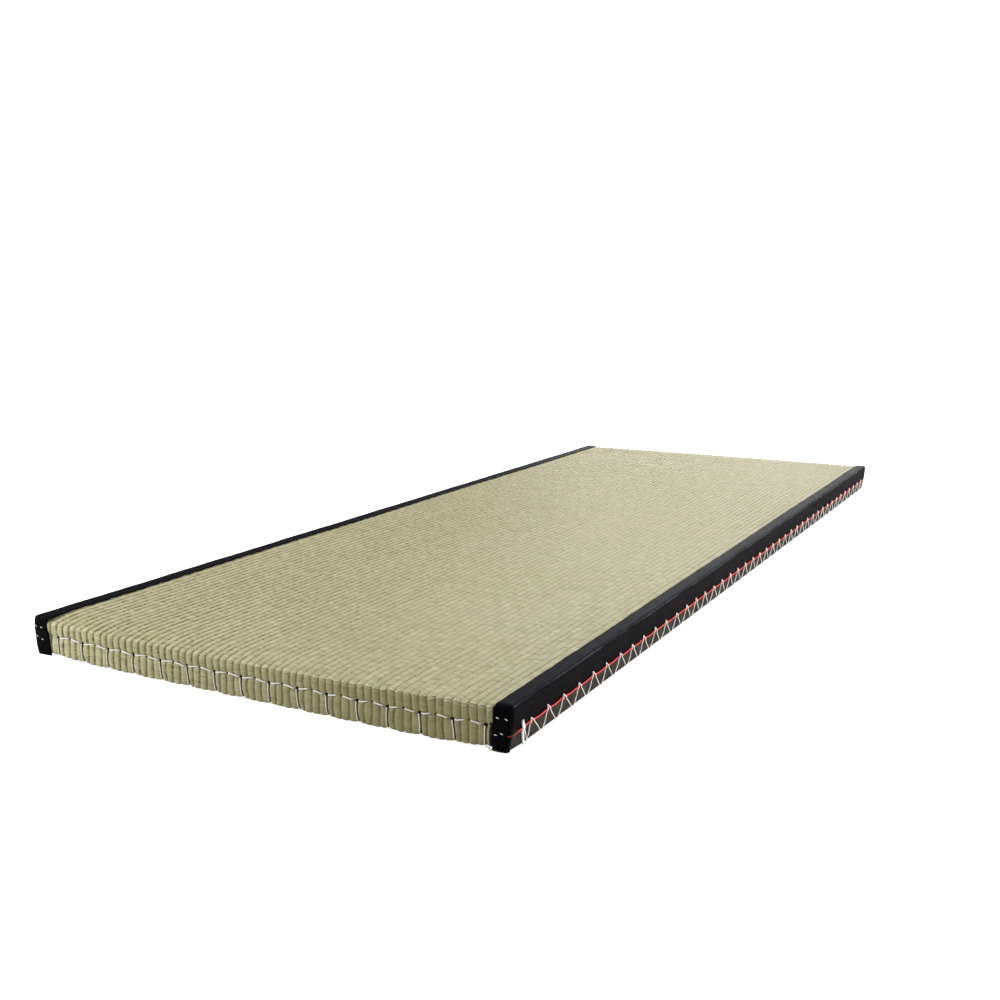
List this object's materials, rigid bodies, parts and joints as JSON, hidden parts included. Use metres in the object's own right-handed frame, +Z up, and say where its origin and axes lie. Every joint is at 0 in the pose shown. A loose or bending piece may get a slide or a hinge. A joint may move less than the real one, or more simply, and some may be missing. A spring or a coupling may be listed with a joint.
{
  "type": "tatami mat",
  "caption": "Flat oblong floor mat: a thick slab covered in woven rush with lengthwise ribs, bound in black cloth along both long sides and capped at the corners.",
  "frame": {"origin": "middle of the flat underside", "axes": "+X across the mat, +Y along its length, +Z up from the underside to the rush face"},
  "size_m": [0.7992, 2, 0.06],
  "materials": {
    "woven_rush": "dry woven rush, softly glossy on the crests of its ribs",
    "binding_cloth": "matt black woven cotton",
    "side_backing": "matt dark brown-grey backing",
    "sewing_thread": "off-white twisted sewing thread",
    "red_cord": "matt red marking cord along the binding's hem"
  },
  "bodies": {
    "root": {"rush_body": "woven_rush", "binding_left": "binding_cloth", "binding_right": "binding_cloth", "side_strip_left": "side_backing", "side_strip_right": "side_backing"}
  },
  "joints": []
}
